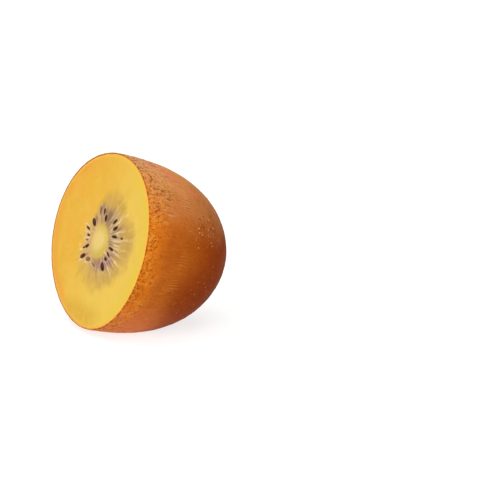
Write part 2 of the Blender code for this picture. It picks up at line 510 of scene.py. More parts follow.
# The tissue with the seed chambers: how far it reaches from the core and how strongly it shows
REACH_AT = np.radians([0, 15, 30, 45, 60, 75, 90, 105, 120, 140, 160, 180, 200, 220, 240, 255, 270, 290, 310, 330, 345, 360])
REACH_MM = np.array([19.8, 20.2, 18.2, 16.6, 17.4, 17.4, 16.2, 13.4, 10.8, 9.6, 9.6, 10.0, 11.2, 13.4, 14.8, 14.2, 15.0, 15.6, 16.0, 16.8, 18.8, 19.8])
SHOW = np.array([0.95, 1.0, 0.95, 0.80, 0.95, 1.0, 0.90, 0.70, 0.42, 0.30, 0.28, 0.30, 0.36, 0.40, 0.46, 0.60, 0.90, 1.0, 0.90, 0.80, 0.90, 0.95])
# how clearly the pale walls between the chambers stand out
RAYS = np.array([1.0, 1.0, 0.95, 0.85, 0.50, 0.22, 0.10, 0.12, 0.18, 0.25, 0.30, 0.35, 0.30, 0.18, 0.12, 0.08, 0.10, 0.22, 0.60, 0.90, 1.0, 1.0])
CHAMBERS = 36
chamber_rng = np.random.default_rng(19)
chamber_angle = (np.arange(CHAMBERS) + 0.5) * 2 * np.pi / CHAMBERS + chamber_rng.normal(0, 0.026, CHAMBERS)
chamber_reach = (np.interp(chamber_angle % (2 * np.pi), REACH_AT, REACH_MM)
                 + chamber_rng.uniform(-2.2, 0.8, CHAMBERS))
chamber_width = chamber_rng.uniform(0.80, 1.05, CHAMBERS)
chamber_show = np.clip(np.interp(chamber_angle % (2 * np.pi), REACH_AT, SHOW)
                       * chamber_rng.uniform(0.55, 1.15, CHAMBERS), 0, 1)


def oval(x, y, cx, cy, angle, length, width):
    """Distance from an oval's middle, 1 on its outline."""
    a = math.radians(angle)
    u = (x - cx) * math.cos(a) + (y - cy) * math.sin(a)
    v = -(x - cx) * math.sin(a) + (y - cy) * math.cos(a)
    return np.sqrt((u / (length / 2)) ** 2 + (v / (width / 2)) ** 2)


def core_radius(angle):
    return 4.95 + 0.28 * np.cos(2 * (angle - 1.5)) + 0.14 * np.cos(3 * angle + 0.8) + 0.10 * np.cos(5 * angle)


def face_fields(x, y):
    """Masks over the cut face, each from 0 to 1, and its relief in millimetres."""
    dx, dy = x - CORE[0], y - CORE[1]
    r = np.hypot(dx, dy) + 1e-9
    a = np.arctan2(dy, dx) % (2 * np.pi)
    p = np.stack([x, y, 0 * x], -1)
    wob = fbm(p / 2.6, seed=71, octaves=3)
    fine = fbm(p / 0.7, seed=73, octaves=3)
    rc = core_radius(a)
    core = 1 - smooth(rc - 1.3, rc + 0.7, r + 0.35 * wob)
    bright = 1 - smooth(0.40, 1.35, oval(x, y, 0.38, -0.14, 20, 8.5, 7.5) + 0.14 * wob)

    # chambers between thin walls that bend a little on their way out
    bend = a + 0.05 * fbm(np.stack([np.cos(a) * 3, np.sin(a) * 3, r / 4], -1), seed=79, octaves=3)
    diff = (bend[..., None] - chamber_angle + np.pi) % (2 * np.pi) - np.pi
    j = np.abs(diff).argmin(-1)
    d = np.take_along_axis(diff, j[..., None], -1)[..., 0]
    reach_j = chamber_reach[j]
    t = np.clip((r + 0.5 * wob - rc) / (reach_j - rc), 0, 1.3)
    pitch = 2 * np.pi * r / CHAMBERS
    half = 0.5 * pitch * chamber_width[j] - 0.14
    half = half * np.sqrt(np.clip(1 - np.clip((t - 0.55) / 0.50, 0, 1) ** 2, 0, 1))
    lateral = np.abs(d) * r
    gel = smooth(-0.30, 0.35, half - lateral) * smooth(0.0, 0.15, t) * (1 - smooth(0.80, 1.10, t))
    reach = np.interp(a, REACH_AT, REACH_MM)
    ragged_edge = 1.5 * wob + 0.6 * fbm(p / 1.3, seed=75, octaves=2)
    zone = (1 - smooth(0.78, 1.06, (r + ragged_edge) / reach)) * smooth(rc - 0.5, rc + 1.2, r)
    show = np.interp(a, REACH_AT, SHOW)
    rays = np.interp(a, REACH_AT, RAYS)
    wall = (1 - smooth(0.02, 0.26, 0.5 * pitch - lateral)) * (1 - smooth(0.70, 1.0, (r + 0.9 * wob) / reach))
    wall = wall * smooth(rc, rc + 1.0, r) * rays * (0.65 + 0.6 * np.clip(fine, -0.5, 0.5))
    gel_show = gel * chamber_show[j]

    seed_mask = np.zeros_like(r)
    halo = np.zeros_like(r)
    socket = np.zeros_like(r)
    for (cx, cy, ang, length, width, height, rise, tone) in SEEDS:
        o = oval(x, y, cx, cy, ang, length, width)
        outside = (o - 1) * width / 2
        socket = np.maximum(socket, np.exp(-(np.clip(outside, 0, None) / 0.22) ** 2))
        halo = np.maximum(halo, np.exp(-((outside - 0.26) / 0.20) ** 2) * 0.55)
        seed_mask = np.maximum(seed_mask, (1 - smooth(0.9, 1.25, o)) * (0.35 + 0.65 * tone))
    mauve = np.zeros_like(r)
    for (cx, cy, ang, length, width, strength) in BURIED:
        o = oval(x + 0.15 * wob, y + 0.15 * fine, cx, cy, ang, length, width)
        mauve = np.maximum(mauve, strength * np.exp(-o ** 2 * 0.9))

    pale = np.zeros_like(r)
    for (cx, cy, ang, length, width, strength) in PALE:
        o = oval(x + 0.22 * wob, y + 0.22 * fine, cx, cy, ang, length, width)
        pale = np.maximum(pale, strength * np.exp(-np.clip(o, 0, 6) ** 2 * 0.9))
    shaded_deep = np.zeros_like(r)
    for (cx, cy, ang, length, width, strength) in DEEP:
        o = oval(x + 0.35 * wob, y + 0.35 * fine, cx, cy, ang, length, width)
        shaded_deep = np.maximum(shaded_deep, strength * np.exp(-np.clip(o, 0, 6) ** 2 * 0.9))

    body = 1 - np.clip(core, 0, 1)
    h = 0.08 * fbm(p / 7.0, seed=81, octaves=2)
    h += 0.012 * fine * body
    h += 0.13 * core * (1 - 0.25 * np.clip(r / 5, 0, 1) ** 2)
    h -= 0.05 * np.exp(-((r - rc - 0.1) / 0.6) ** 2)
    h -= 0.11 * gel * (0.15 + 0.85 * show * np.clip(rays, 0.15, 1))
    h += 0.04 * wall + 0.07 * pale - 0.06 * shaded_deep
    h += 0.08 * mauve
    h -= 0.16 * socket
    return dict(core=core, bright=bright, gel=gel_show, zone=zone * show, wall=wall, rays=rays,
                halo=halo, mauve=mauve, seedbed=seed_mask, pale=pale, shaded_deep=shaded_deep, height=h)


FLESH_ROWS = 134
rim = plain[0] - normal[0] * FLESH_INSET
rim = np.stack([rim[:, 0], rim[:, 1], 0 * rim[:, 0]], -1)
centre = np.array([CORE[0], CORE[1], 0.0])
t_rows = np.linspace(0.004, 1.0, FLESH_ROWS)
face = centre + t_rows[:, None, None] * (rim - centre)[None]
fields = face_fields(face[..., 0], face[..., 1])
to_skin = (1 - t_rows)[:, None] * np.linalg.norm(rim - centre, axis=-1)[None, :]
edge_drop = -0.16 * np.exp(-to_skin / 0.35)
swell = 0.10 * np.exp(-((to_skin - 1.6) / 1.4) ** 2)
face[..., 2] = fields["height"] + edge_drop + swell * 0.6
face[..., 2] += 0.02 - 0.02 * (t_rows[:, None])

back_rows = np.concatenate([[1, 3, 6], np.arange(11, STATIONS - 4, 8), [STATIONS - 1]])
back_depth = FLESH_INSET + (FLESH_DEEP - FLESH_INSET) * smooth(0.2, 1.5, arc[back_rows])
back_depth = back_depth + 1.30 * np.exp(-(CUT_RADIUS * share[back_rows] / 4.6) ** 2)
back = plain[back_rows] - normal[back_rows] * back_depth[:, None, None]
back[-1] = back[-1].mean(0) + 0.2 * (back[-1] - back[-1].mean(0))
back_row = settle(to_row(back))
back_row[..., 2] = np.maximum(back_row[..., 2], FLESH_INSET)
face_row = to_row(face)
face_row[..., 2] = np.maximum(face_row[..., 2], FLESH_INSET)
n_face = FLESH_ROWS * AROUND
n_back = len(back_rows) * AROUND
points = np.concatenate([face_row.reshape(-1, 3), back_row.reshape(-1, 3),
                         face_row[0].mean(0)[None], back_row[-1].mean(0)[None]])
quads = [ring_quads(FLESH_ROWS + len(back_rows), AROUND)]
last = (FLESH_ROWS + len(back_rows) - 1) * AROUND
tris = np.concatenate([
    np.stack([n, np.full(AROUND, n_face + n_back), k], -1)[:, ::-1],
    np.stack([last + k, np.full(AROUND, n_face + n_back + 1), last + n], -1)])
tris[:AROUND] = np.stack([k, n, np.full(AROUND, n_face + n_back)], -1)
flesh = make_mesh("kiwi_flesh", points, np.concatenate(quads), tris)


def face_flat(grid, back_value=0.0):
    return np.concatenate([grid.ravel(), np.full(n_back, back_value), [grid[0].mean(), back_value]])


put_vector(flesh, "kiwi_mm", to_local(points))
for key in ("core", "bright", "gel", "zone", "wall", "rays", "halo", "mauve", "seedbed", "pale", "shaded_deep"):
    put_float(flesh, key, face_flat(fields[key]))
put_float(flesh, "to_skin", face_flat(to_skin))

uv_face = 0.5 + 0.49 * face[..., :2] / 28.2
uv_back = small_disc(np.linspace(SMALL_FIRST, 0.004, len(back_rows))[:, None], THETA[None, :])
put_uv(flesh, np.concatenate([uv_face.reshape(-1, 2), uv_back.reshape(-1, 2),
                              [uv_face[0].mean(0)], [[SMALL, SMALL]]]),
       np.concatenate([np.zeros(n_face, bool), np.ones(n_back, bool), [False], [True]]))

# =============================================================================
# Seeds
# =============================================================================
def face_height(x, y):
    f = face_fields(np.array([[x]]), np.array([[y]]))
    return float(f["height"][0, 0])


seed_points, seed_quads, seed_tris, seed_tone, seed_local = [], [], [], [], []
RINGS, SIDES = 17, 28
offset = 0
seed_rng = np.random.default_rng(5)
for (cx, cy, ang, length, width, height, rise, tone) in SEEDS:
    a = math.radians(ang + seed_rng.normal(0, 3))
    u = np.linspace(0, np.pi, RINGS + 2)[1:-1]
    side = np.linspace(0, 2 * np.pi, SIDES, endpoint=False)
    along_s = -np.cos(u)                                   # -1 at the core side
    girth = np.sin(u) ** 0.92 * (1 - 0.26 * (-along_s).clip(0, 1) ** 1.5)
    X = (length / 2) * along_s[:, None] + 0 * side[None, :]
    Y = (width / 2) * girth[:, None] * np.cos(side)[None, :]
    Z = (height / 2) * girth[:, None] * np.sin(side)[None, :]
    ends = np.array([[-length / 2 * 1.03, 0, 0], [length / 2 * 0.99, 0, 0]])
    P = np.concatenate([np.stack([X, Y, Z], -1).reshape(-1, 3), ends])
    P[:, 1] += 0.05 * width * np.sin(P[:, 0] / length * 3.0 + seed_rng.uniform(0, 6))
    P += P / (np.linalg.norm(P, axis=-1, keepdims=True) + 1e-9) * 0.018 * fbm(P * 1.6 + cx * 3 + cy, 91, 3)[:, None]
    tilt = math.radians(seed_rng.uniform(-9, 9))
    roll = math.radians(seed_rng.uniform(-16, 16))
    ct, st, cr, sr = math.cos(tilt), math.sin(tilt), math.cos(roll), math.sin(roll)
    Y2, Z2 = P[:, 1] * cr - P[:, 2] * sr, P[:, 1] * sr + P[:, 2] * cr
    X3, Z3 = P[:, 0] * ct - Z2 * st, P[:, 0] * st + Z2 * ct
    # only the rise stands out of the flesh around it
    base = 0.0
    lx = cx + X3 * math.cos(a) - Y2 * math.sin(a)
    ly = cy + X3 * math.sin(a) + Y2 * math.cos(a)
    lz = Z3 + rise - height / 2 + base
    seed_points.append(np.stack([lx, ly, lz], -1))
    seed_quads.append(ring_quads(RINGS, SIDES, offset)[:, ::-1])
    kk = np.arange(SIDES)
    nn = (kk + 1) % SIDES
    m = RINGS * SIDES
    seed_tris.append(np.stack([offset + kk, offset + nn, np.full(SIDES, offset + m)], -1)[:, ::-1])
    seed_tris.append(np.stack([offset + (RINGS - 1) * SIDES + nn, offset + (RINGS - 1) * SIDES + kk,
                               np.full(SIDES, offset + m + 1)], -1)[:, ::-1])
    seed_tone.append(np.full(m + 2, tone))
    seed_local.append(P / np.array([length, width, height]))
    offset += m + 2
seed_points = np.concatenate(seed_points)
seeds = make_mesh("kiwi_seeds", to_row(seed_points), np.concatenate(seed_quads), np.concatenate(seed_tris))
put_vector(seeds, "kiwi_mm", seed_points)
put_vector(seeds, "seed_mm", np.concatenate(seed_local))
put_float(seeds, "tone", np.concatenate(seed_tone))


def face_outwards(obj):
    """Turns every closed body of a mesh the right way out."""
    import bmesh
    bm = bmesh.new()
    bm.from_mesh(obj.data)
    bmesh.ops.recalc_face_normals(bm, faces=bm.faces[:])
    bm.to_mesh(obj.data)
    bm.free()
    obj.data.shade_smooth()


for piece in (skin, flesh, seeds):
    face_outwards(piece)

# =============================================================================
# Materials
# =============================================================================
def lin(r, g, b):
    """A colour given as display values from 0 to 255, as a linear colour."""
    def one(c):
        c /= 255.0
        return c / 12.92 if c <= 0.04045 else ((c + 0.055) / 1.055) ** 2.4
    return (one(r), one(g), one(b), 1.0)


class Tree:
    """A material's nodes, written as nested calls."""

    def __init__(self, name):
        self.material = bpy.data.materials.new(name)
        self.material.use_nodes = True
        self.nodes = self.material.node_tree.nodes
        self.links = self.material.node_tree.links
        self.shader = self.nodes["Principled BSDF"]
        self.column = 0

    def new(self, kind, **props):
        node = self.nodes.new(kind)
        self.column += 1
        node.location = (-2600 + 170 * (self.column % 15), 900 - 230 * (self.column // 15))
        for key, value in props.items():
            setattr(node, key, value)
        return node

    def plug(self, socket, value):
        if hasattr(value, "is_output"):
            self.links.new(value, socket)
        else:
            socket.default_value = value

    def attribute(self, name, out="Fac"):
        node = self.new("ShaderNodeAttribute", attribute_type="GEOMETRY", attribute_name=name)
        return node.outputs[out]

    def math(self, op, a, b=0.0, c=0.0, clamp=False):
        node = self.new("ShaderNodeMath", operation=op, use_clamp=clamp)
        self.plug(node.inputs[0], a)
        self.plug(node.inputs[1], b)
        self.plug(node.inputs[2], c)
        return node.outputs[0]

    def vec(self, op, a, b=(0, 0, 0), scale=None):
        node = self.new("ShaderNodeVectorMath", operation=op)
        self.plug(node.inputs[0], a)
        if scale is not None:
            self.plug(node.inputs["Scale"], scale)
        else:
            self.plug(node.inputs[1], b)
        return node.outputs["Value"] if op in ("LENGTH", "DOT_PRODUCT", "DISTANCE") else node.outputs["Vector"]

    def step(self, x, low, high, to_low=0.0, to_high=1.0):
        node = self.new("ShaderNodeMapRange", interpolation_type="SMOOTHSTEP", clamp=True)
        for name, value in (("Value", x), ("From Min", low), ("From Max", high),
                            ("To Min", to_low), ("To Max", to_high)):
            self.plug(node.inputs[name], value)
        return node.outputs["Result"]

    def span(self, x, low, high, to_low=0.0, to_high=1.0):
        node = self.new("ShaderNodeMapRange", interpolation_type="LINEAR", clamp=True)
        for name, value in (("Value", x), ("From Min", low), ("From Max", high),
                            ("To Min", to_low), ("To Max", to_high)):
            self.plug(node.inputs[name], value)
        return node.outputs["Result"]

    def mix(self, factor, a, b, mode="MIX"):
        node = self.new("ShaderNodeMix", data_type="RGBA", blend_type=mode, clamp_factor=True)
        self.plug(node.inputs["Factor"], factor)
        self.plug(node.inputs[6], a)
        self.plug(node.inputs[7], b)
        return node.outputs[2]

    def noise(self, vector, scale, detail=3.0, roughness=0.5, distortion=0.0, out="Fac"):
        node = self.new("ShaderNodeTexNoise")
        self.plug(node.inputs["Vector"], vector)
        node.inputs["Scale"].default_value = scale
        node.inputs["Detail"].default_value = detail
        node.inputs["Roughness"].default_value = roughness
        node.inputs["Distortion"].default_value = distortion
        return node.outputs[out]

    def voronoi(self, vector, scale, out="Distance", feature="F1", randomness=1.0, smoothness=None):
        node = self.new("ShaderNodeTexVoronoi", feature=feature)
        self.plug(node.inputs["Vector"], vector)
        node.inputs["Scale"].default_value = scale
        node.inputs["Randomness"].default_value = randomness
        if smoothness is not None:
            node.inputs["Smoothness"].default_value = smoothness
        return node.outputs[out]

    def combine(self, x, y, z):
        node = self.new("ShaderNodeCombineXYZ")
        for i, value in enumerate((x, y, z)):
            self.plug(node.inputs[i], value)
        return node.outputs[0]

    def split(self, vector):
        node = self.new("ShaderNodeSeparateXYZ")
        self.plug(node.inputs[0], vector)
        return node.outputs

    def bump(self, height, distance_mm, strength=1.0, normal=None):
        node = self.new("ShaderNodeBump")
        node.inputs["Strength"].default_value = strength
        node.inputs["Distance"].default_value = distance_mm / 1000.0
        self.plug(node.inputs["Height"], height)
        if normal is not None:
            self.plug(node.inputs["Normal"], normal)
        return node.outputs[0]


def skin_material():
    t = Tree("kiwi_skin")
    p = t.attribute("kiwi_mm", "Vector")
    x, y, z = t.split(p)
    pit_a = t.attribute("pit")
    pore_a = t.attribute("pore")
    scar_a = t.attribute("scar")
    hole_a = t.attribute("scar_hole")
    from_cut = t.attribute("from_cut")
    inside = t.attribute("inside")
    band = t.attribute("band")
    scales = t.attribute("scales")
    shaded_hollows = t.attribute("shaded_hollows")

    broad = t.noise(p, 0.06, 2.0, 0.5)
    patch = t.noise(p, 0.20, 3.0, 0.55, 0.3)
    patch_2 = t.noise(t.vec("ADD", p, (40, 13, 7)), 0.32, 3.0, 0.6, 0.4)
    mottle = t.noise(p, 0.85, 3.0, 0.6)
    grain = t.noise(p, 3.6, 3.0, 0.6)
    streak = t.noise(t.vec("MULTIPLY", p, (1.9, 1.9, 0.10)), 1.0, 3.0, 0.6, 0.25)
    hair = t.noise(t.vec("MULTIPLY", p, (4.2, 4.2, 0.50)), 1.0, 2.0, 0.6, 0.3)
    patch_off = t.math("SUBTRACT", patch, 0.5)

    # orange brown, brightest by the cut, deeper towards the stem end; that deeper colour is partly the skin's own,
    # partly painted shade
    colour = t.mix(t.step(broad, 0.36, 0.66), lin(212, 112, 32), lin(202, 104, 28))
    far_deep_and_shade = t.step(t.math("ADD", from_cut, t.math("MULTIPLY", patch_off, 9.0)), 9.0, 29.0, 0.0, 0.92)
    colour = t.mix(far_deep_and_shade, colour, lin(172, 66, 0))
    # deeper skin low on the fruit away from the cut: partly its own colour, partly painted shade
    belly = t.step(y, 3.5, -12.0)
    colour = t.mix(t.math("MULTIPLY", t.math("MULTIPLY", belly, t.step(from_cut, 9.5, 18.0)), 0.72), colour, lin(160, 60, 0))
    glow = t.step(t.math("ADD", from_cut, t.math("MULTIPLY", patch_off, 6.0)), 8.5, 1.0)
    colour = t.mix(t.math("MULTIPLY", glow, 0.90), colour, lin(252, 137, 25))
    # brighter, pinker skin low down by the cut: partly its own colour, partly painted bounce light from below
    under_pink_and_bounce = t.math("MULTIPLY", t.step(y, -11.0, -24.0), t.step(from_cut, 24.0, 8.0))
    colour = t.mix(t.math("MULTIPLY", under_pink_and_bounce, 0.80), colour, lin(248, 133, 73))
    # the upper flank is a little paler behind the band: partly its own tan, partly painted sheen on the upper side
    high = t.attribute("high")
    flank_tan_and_sheen = t.math("MULTIPLY", t.step(t.math("ADD", high, t.math("MULTIPLY", patch_off, 0.3)), 0.22, 0.62), t.step(from_cut, 0.5, 8.0, 0.50, 1.0))
    colour = t.mix(t.math("MULTIPLY", flank_tan_and_sheen, 0.72), colour, lin(220, 139, 76))
    # the crown is a paler tan, pink in patches by the cut
    crown = t.step(high, 0.58, 0.98)
    colour = t.mix(t.math("MULTIPLY", crown, 0.85), colour,
                   t.mix(t.step(from_cut, 4.0, 26.0), lin(236, 170, 94), lin(228, 148, 80)))
    # the top of the crown by the cut gets a painted pale sheen
    top_sheen = t.math("MULTIPLY", t.step(high, 0.82, 1.0), t.step(from_cut, 14.0, 5.0))
    colour = t.mix(t.math("MULTIPLY", top_sheen, 0.80), colour, lin(244, 188, 146))
    pink = t.math("MULTIPLY", t.math("MULTIPLY", crown, t.step(from_cut, 17.0, 9.0)), t.step(patch_2, 0.42, 0.56))
    colour = t.mix(t.math("MULTIPLY", pink, 0.40), colour, lin(236, 140, 108))
    for middle, wide in (((10.0, 24.2, -7.2), 4.2), ((13.2, 22.5, -11.8), 4.4), ((15.9, 19.4, -18.0), 3.2)):
        near = t.math("ADD", t.vec("DISTANCE", p, middle), t.math("MULTIPLY", t.math("SUBTRACT", mottle, 0.5), 5.0))
        colour = t.mix(t.step(near, wide, wide * 0.35, 0.0, 0.58), colour, lin(242, 134, 90))
    # faint blotches and lengthways streaks, each a shade of the colour under it
    def tint(share, factors):
        return t.mix(share, colour, t.vec("MULTIPLY", colour, factors))

    colour = tint(t.step(patch, 0.52, 0.74), (1.06, 1.15, 1.25))
    colour = tint(t.step(patch, 0.46, 0.26), (0.93, 0.86, 0.78))
    colour = tint(t.step(patch_2, 0.52, 0.72), (0.95, 0.90, 0.84))
    colour = tint(t.step(streak, 0.50, 0.72), (1.06, 1.14, 1.22))
    colour = tint(t.step(streak, 0.48, 0.28), (0.94, 0.88, 0.82))
    colour = tint(t.step(mottle, 0.50, 0.70), (0.94, 0.88, 0.82))
    colour = tint(t.step(grain, 0.52, 0.72), (0.92, 0.86, 0.80))
    colour = tint(t.step(grain, 0.46, 0.28), (1.04, 1.12, 1.18))
    wisp_share = t.step(t.noise(t.vec("ADD", p, (3, 60, 9)), 0.15, 2.0, 0.5), 0.50, 0.64)
    long = t.noise(t.vec("ADD", t.vec("MULTIPLY", p, (2.3, 2.3, 0.34)), (0, 9, 0)), 1.0, 1.0, 0.5, 0.2)
    colour = tint(t.math("MULTIPLY", wisp_share, t.step(long, 0.53, 0.64)), (1.10, 1.26, 1.55))
    colour = tint(t.math("MULTIPLY", wisp_share, t.step(long, 0.46, 0.37)), (0.92, 0.84, 0.76))
    # short parallel ripples in a few places, running lengthways
    around = t.math("MULTIPLY", t.math("ARCTAN2", y, x), 26.0)
    bend = t.noise(t.vec("MULTIPLY", p, (0.5, 0.5, 0.22)), 1.0, 2.0, 0.5)
    ripple = t.math("SINE", t.math("ADD", t.math("MULTIPLY", around, 7.2), t.math("MULTIPLY", bend, 7.0)))
    ripple_share = 0.0
    for middle, wide in (((20.8, 16.2, -13.6), 3.6), ((26.4, 0.5, -13.3), 3.2), ((25.2, -8.0, -12.3), 3.0),
                         ((-20.0, 6.0, -15.0), 3.6), ((4.0, -24.0, -14.0), 3.6)):
        near = t.math("ADD", t.vec("DISTANCE", p, middle), t.math("MULTIPLY", t.math("SUBTRACT", streak, 0.5), 5.0))
        ripple_share = t.math("MAXIMUM", ripple_share, t.step(near, wide, wide * 0.45))
    colour = tint(t.math("MULTIPLY", ripple_share, t.step(ripple, 0.0, 0.9)), (1.12, 1.32, 1.75))
    colour = tint(t.math("MULTIPLY", ripple_share, t.step(ripple, -0.2, -0.9)), (0.95, 0.89, 0.84))

    # the rough band by the cut: pale scales, partly their own colour and partly painted light, each with painted shade
    # in the hollow beside it
    warp = t.new("ShaderNodeTexNoise")
    t.plug(warp.inputs["Vector"], p)
    warp.inputs["Scale"].default_value = 1.2
    warp.inputs["Detail"].default_value = 1.0
    bent = t.vec("ADD", p, t.vec("SCALE", t.vec("SUBTRACT", warp.outputs["Color"], (0.5, 0.5, 0.5)), scale=0.9))
    bent = t.vec("MULTIPLY", bent, (1.25, 1.25, 0.85))
    fine_a = t.noise(bent, 0.85, 3.0, 0.62)
    fine_b = t.noise(t.vec("ADD", bent, (0.14, 0.46, 0.22)), 0.85, 3.0, 0.62)
    fleck = t.math("MULTIPLY", t.step(fine_a, 0.52, 0.60), band)
    # each dark nick beside a pale fleck is painted shadow over a small dent
    shaded_nick = t.math("MULTIPLY", t.math("MULTIPLY", t.step(fine_b, 0.54, 0.62), t.step(fine_a, 0.56, 0.50)), band)
    tiny = t.math("MULTIPLY", t.step(t.noise(t.vec("ADD", bent, (9, 4, 2)), 1.55, 1.0, 0.5), 0.60, 0.67),
                  t.step(from_cut, 14.0, 2.0, 0.15, 1.0))
    # crests and gouges high by the cut: painted light on each crest and painted shade in the gouge beside it, over a
    # matching bump
    rough = t.math("MULTIPLY", t.step(high, 0.42, 0.62), t.step(from_cut, 12.5, 8.0))
    shaded_gouge = t.math("MULTIPLY", rough, t.step(t.noise(t.vec("MULTIPLY", bent, (0.95, 0.95, 0.55)), 1.0, 2.0, 0.55), 0.57, 0.66))
    lit_crest = t.math("MULTIPLY", rough, t.step(t.noise(t.vec("ADD", t.vec("MULTIPLY", bent, (0.95, 0.95, 0.55)), (0.22, 0.34, 0.0)), 1.0, 2.0, 0.55), 0.57, 0.66))
    # pale colour for scales and flecks, partly painted light; dark colour for hollows and nicks, painted shade
    light = t.mix(t.step(high, 0.35, 0.80), lin(255, 160, 56), lin(240, 176, 106))
    dark = t.mix(t.step(high, 0.35, 0.80), lin(164, 60, 0), lin(152, 70, 2))
    colour = t.mix(t.math("MULTIPLY", scales, 0.50), colour, light)
    colour = t.mix(t.math("MULTIPLY", shaded_hollows, 0.40), colour, dark)
    colour = t.mix(t.math("MULTIPLY", fleck, 0.72), colour, light)
    colour = t.mix(t.math("MULTIPLY", shaded_nick, 0.85), colour, dark)
    colour = t.mix(t.math("MULTIPLY", tiny, 0.46), colour, lin(160, 58, 0))
    colour = t.mix(t.math("MULTIPLY", lit_crest, 0.55), colour, lin(240, 168, 96))
    colour = t.mix(t.math("MULTIPLY", shaded_gouge, 0.70), colour, lin(146, 68, 6))

    def specks(scale, large, small, share, shift):
        node = t.new("ShaderNodeTexVoronoi", feature="F1")
        t.plug(node.inputs["Vector"], t.vec("ADD", p, shift))
        node.inputs["Scale"].default_value = scale
        pick = t.split(node.outputs["Color"])[0]
        spot = t.step(node.outputs["Distance"], large, small)
        chosen = t.step(t.math("SUBTRACT", share, pick), -0.04, 0.04)
        return t.math("MULTIPLY", spot, chosen)

    # pale pores in loose groups further along, each with a painted shadow beside it
    pore_share = t.step(from_cut, 8.0, 22.0, 0.02, 0.26)
    pore_share = t.math("ADD", pore_share, t.math("MULTIPLY", t.math("SUBTRACT", t.noise(t.vec("ADD", p, (5, 50, 9)), 0.13, 2.0, 0.5), 0.5), 1.3))
    group = t.vec("DISTANCE", p, (22.3, 9.2, -21.2))
    pore_share = t.math("ADD", pore_share, t.step(group, 6.5, 2.5, 0.0, 0.40))
    small_pore = specks(0.72, 0.20, 0.11, pore_share, (31.0, 7.0, 3.0))
    fine_pore = specks(1.3, 0.16, 0.08, pore_share, (7.7, 17.0, 23.0))
    pore_shade = specks(0.72, 0.24, 0.14, pore_share, (31.0, 7.22, 3.16))
    clump = t.step(group, 7.0, 4.0, 0.0, 0.85)
    large_pore = specks(0.62, 0.33, 0.16, clump, (3.0, 12.0, 5.0))
    large_shade = specks(0.62, 0.40, 0.24, clump, (3.0, 12.34, 5.1))
    colour = t.mix(t.math("MULTIPLY", large_shade, 0.50), colour, lin(120, 48, 0))
    colour = t.mix(t.math("MULTIPLY", pore_shade, 0.45), colour, lin(120, 52, 12))
    colour = t.mix(t.math("MULTIPLY", small_pore, 0.85), colour, lin(240, 160, 84))
    colour = t.mix(t.math("MULTIPLY", fine_pore, 0.45), colour, lin(230, 148, 74))
    colour = t.mix(t.math("MULTIPLY", large_pore, 0.84), colour, lin(246, 166, 86))
    colour = t.mix(t.math("MULTIPLY", t.step(pore_a, 0.45, 0.90), 0.45), colour, lin(230, 150, 78))
    colour = t.mix(t.math("MULTIPLY", t.step(pit_a, 0.20, 0.85), 0.60), colour, lin(140, 62, 6))

    # round the stem end the skin is greyer and a little paler
    tip_zone = t.step(t.math("ADD", from_cut, t.math("MULTIPLY", patch_off, 8.0)), 30.0, 44.0)
    colour = t.mix(t.math("MULTIPLY", tip_zone, 0.75), colour, t.mix(t.step(mottle, 0.36, 0.70), lin(184, 108, 60), lin(168, 94, 48)))

    # the woody scar
    wood = t.mix(t.step(t.noise(p, 0.9, 4.0, 0.65), 0.38, 0.60), lin(170, 116, 72), lin(216, 166, 116))
    wood = t.mix(t.math("MULTIPLY", t.step(t.noise(t.vec("ADD", p, (6, 2, 3)), 2.6, 3.0, 0.6), 0.54, 0.66), 0.55), wood, lin(96, 62, 38))
    wood = t.mix(t.math("MULTIPLY", t.attribute("scar_cracks"), 0.70), wood, lin(96, 58, 34))
    wood = t.mix(t.math("MULTIPLY", t.step(scar_a, 0.75, 0.40), 0.5), wood, lin(120, 74, 42))
    colour = t.mix(t.step(scar_a, 0.25, 0.70), colour, wood)
    colour = t.mix(t.step(hole_a, 0.20, 0.80), colour, lin(58, 34, 20))

    # the cut edge of the skin: a thin, broken, darker line
    dotted = t.noise(t.vec("MULTIPLY", p, (1.0, 1.0, 0.0)), 1.3, 2.0, 0.6)
    edge = t.step(from_cut, 0.60, 0.10)
    colour = t.mix(t.math("MULTIPLY", edge, t.step(dotted, 0.44, 0.60, 0.10, 0.85)), colour, lin(136, 70, 4))
    colour = t.mix(inside, colour, lin(196, 134, 44))
    t.plug(t.shader.inputs["Base Color"], colour)

    t.plug(t.shader.inputs["Roughness"], t.span(mottle, 0.3, 0.7, 0.50, 0.62))
    t.shader.inputs["Specular IOR Level"].default_value = 0.05
    t.shader.inputs["Sheen Weight"].default_value = 0.03
    t.shader.inputs["Sheen Roughness"].default_value = 0.30
    t.shader.inputs["Sheen Tint"].default_value = (1.0, 0.68, 0.40, 1.0)
    t.shader.inputs["Subsurface Weight"].default_value = 0.10
    t.shader.inputs["Subsurface Radius"].default_value = (1.0, 0.45, 0.20)
    t.shader.inputs["Subsurface Scale"].default_value = 0.0006

    height = t.math("ADD", t.math("MULTIPLY", grain, 0.45), t.math("MULTIPLY", mottle, 0.6))
    height = t.math("SUBTRACT", height, t.math("MULTIPLY", shaded_nick, 0.80))
    height = t.math("SUBTRACT", height, t.math("MULTIPLY", tiny, 0.50))
    height = t.math("ADD", height, t.math("MULTIPLY", fleck, 0.70))
    height = t.math("ADD", height, t.math("MULTIPLY", small_pore, 0.60))
    height = t.math("ADD", height, t.math("MULTIPLY", large_pore, 0.80))
    height = t.math("ADD", height, t.math("MULTIPLY", t.math("MULTIPLY", ripple_share, ripple), 0.30))
    height = t.math("ADD", height, t.math("MULTIPLY", t.math("SUBTRACT", lit_crest, shaded_gouge), 0.70))
    height = t.math("ADD", height, t.math("MULTIPLY", hair, 0.25))
    t.plug(t.shader.inputs["Normal"], t.bump(height, 0.14, 0.60))
    return t.material


